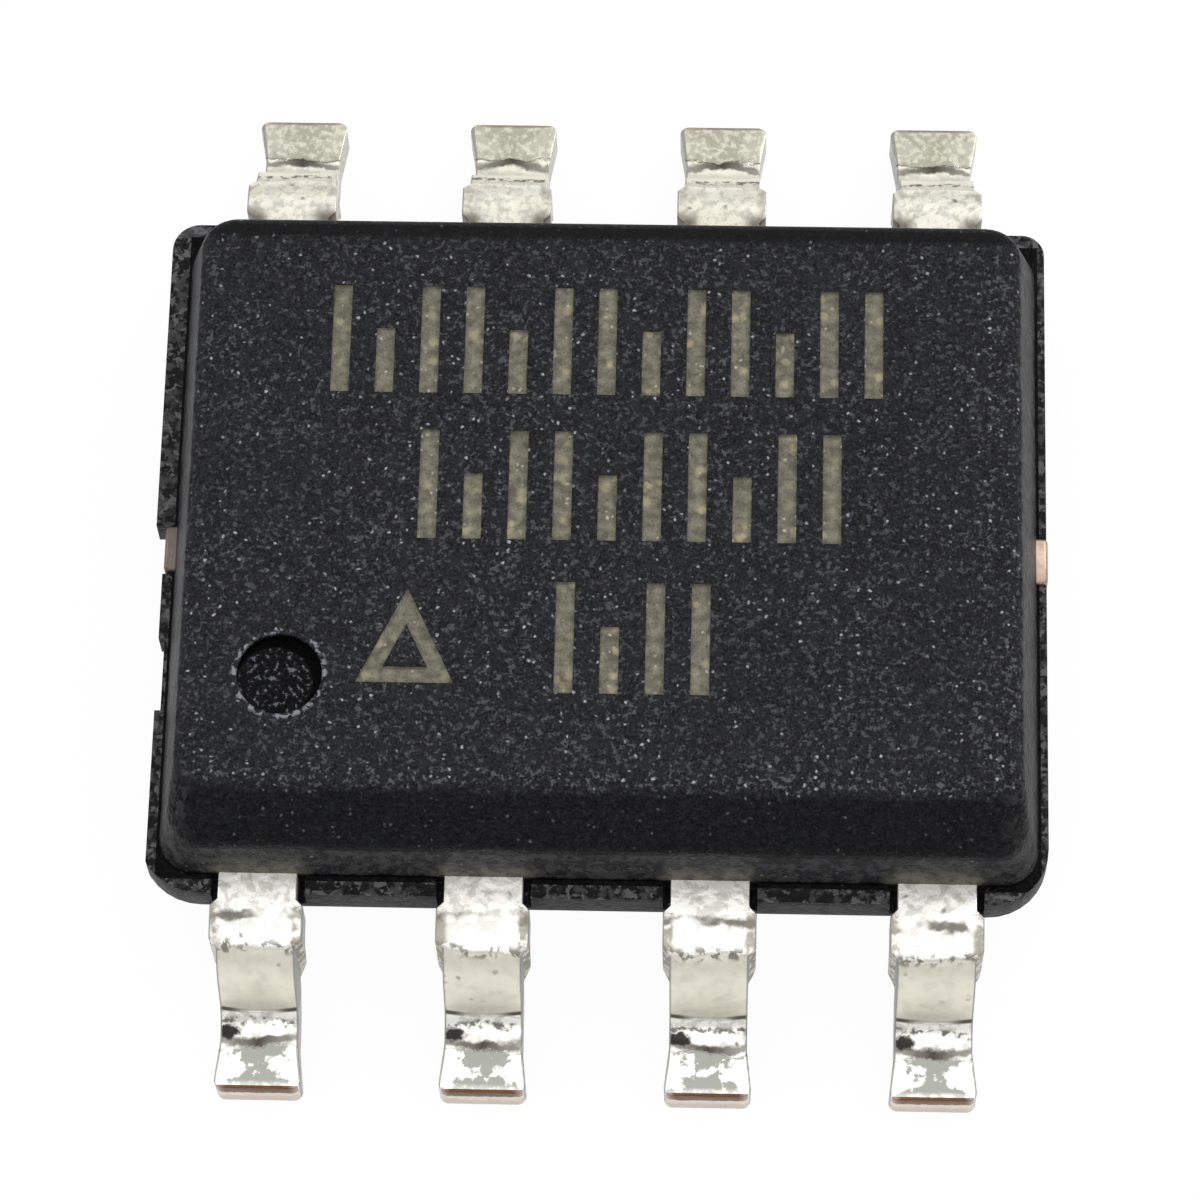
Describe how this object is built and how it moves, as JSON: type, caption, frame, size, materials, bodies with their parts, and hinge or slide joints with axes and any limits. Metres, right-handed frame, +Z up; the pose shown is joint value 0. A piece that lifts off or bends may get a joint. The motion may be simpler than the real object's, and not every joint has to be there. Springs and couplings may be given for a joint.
{
  "type": "microcontroller chip",
  "caption": "Small-outline chip package: black moulded case with an index dimple and gull-wing leads along two sides, with lead frame, die and bond wires inside.",
  "frame": {"origin": "centre of the whole outline on the plane of the feet's undersides", "axes": "+X along the case from the end with lead 1 to the end with lead 4, +Y from leads 1 to 4 towards leads 5 to 8, +Z up through the marked face"},
  "size_m": [0.0052, 0.006, 0.0014],
  "materials": {
    "mold_compound": "matte, finely speckled",
    "tinned_lead": "satin tin plating with a grain",
    "bare_copper": "sheared copper",
    "attach_adhesive": "silver-filled adhesive",
    "silicon": "polished",
    "gold_wire": "drawn gold wire"
  },
  "bodies": {
    "root": {"molded_case": "mold_compound", "lead_1": "tinned_lead", "lead_2": "tinned_lead", "lead_3": "tinned_lead", "lead_4": "tinned_lead", "lead_5": "tinned_lead", "lead_6": "tinned_lead", "lead_7": "tinned_lead", "lead_8": "tinned_lead", "die_paddle": "bare_copper", "die_attach": "attach_adhesive", "silicon_die": "silicon", "bond_wire_1": "gold_wire", "bond_wire_2": "gold_wire", "bond_wire_3": "gold_wire", "bond_wire_4": "gold_wire", "bond_wire_5": "gold_wire", "bond_wire_6": "gold_wire", "bond_wire_7": "gold_wire", "bond_wire_8": "gold_wire"}
  },
  "joints": []
}
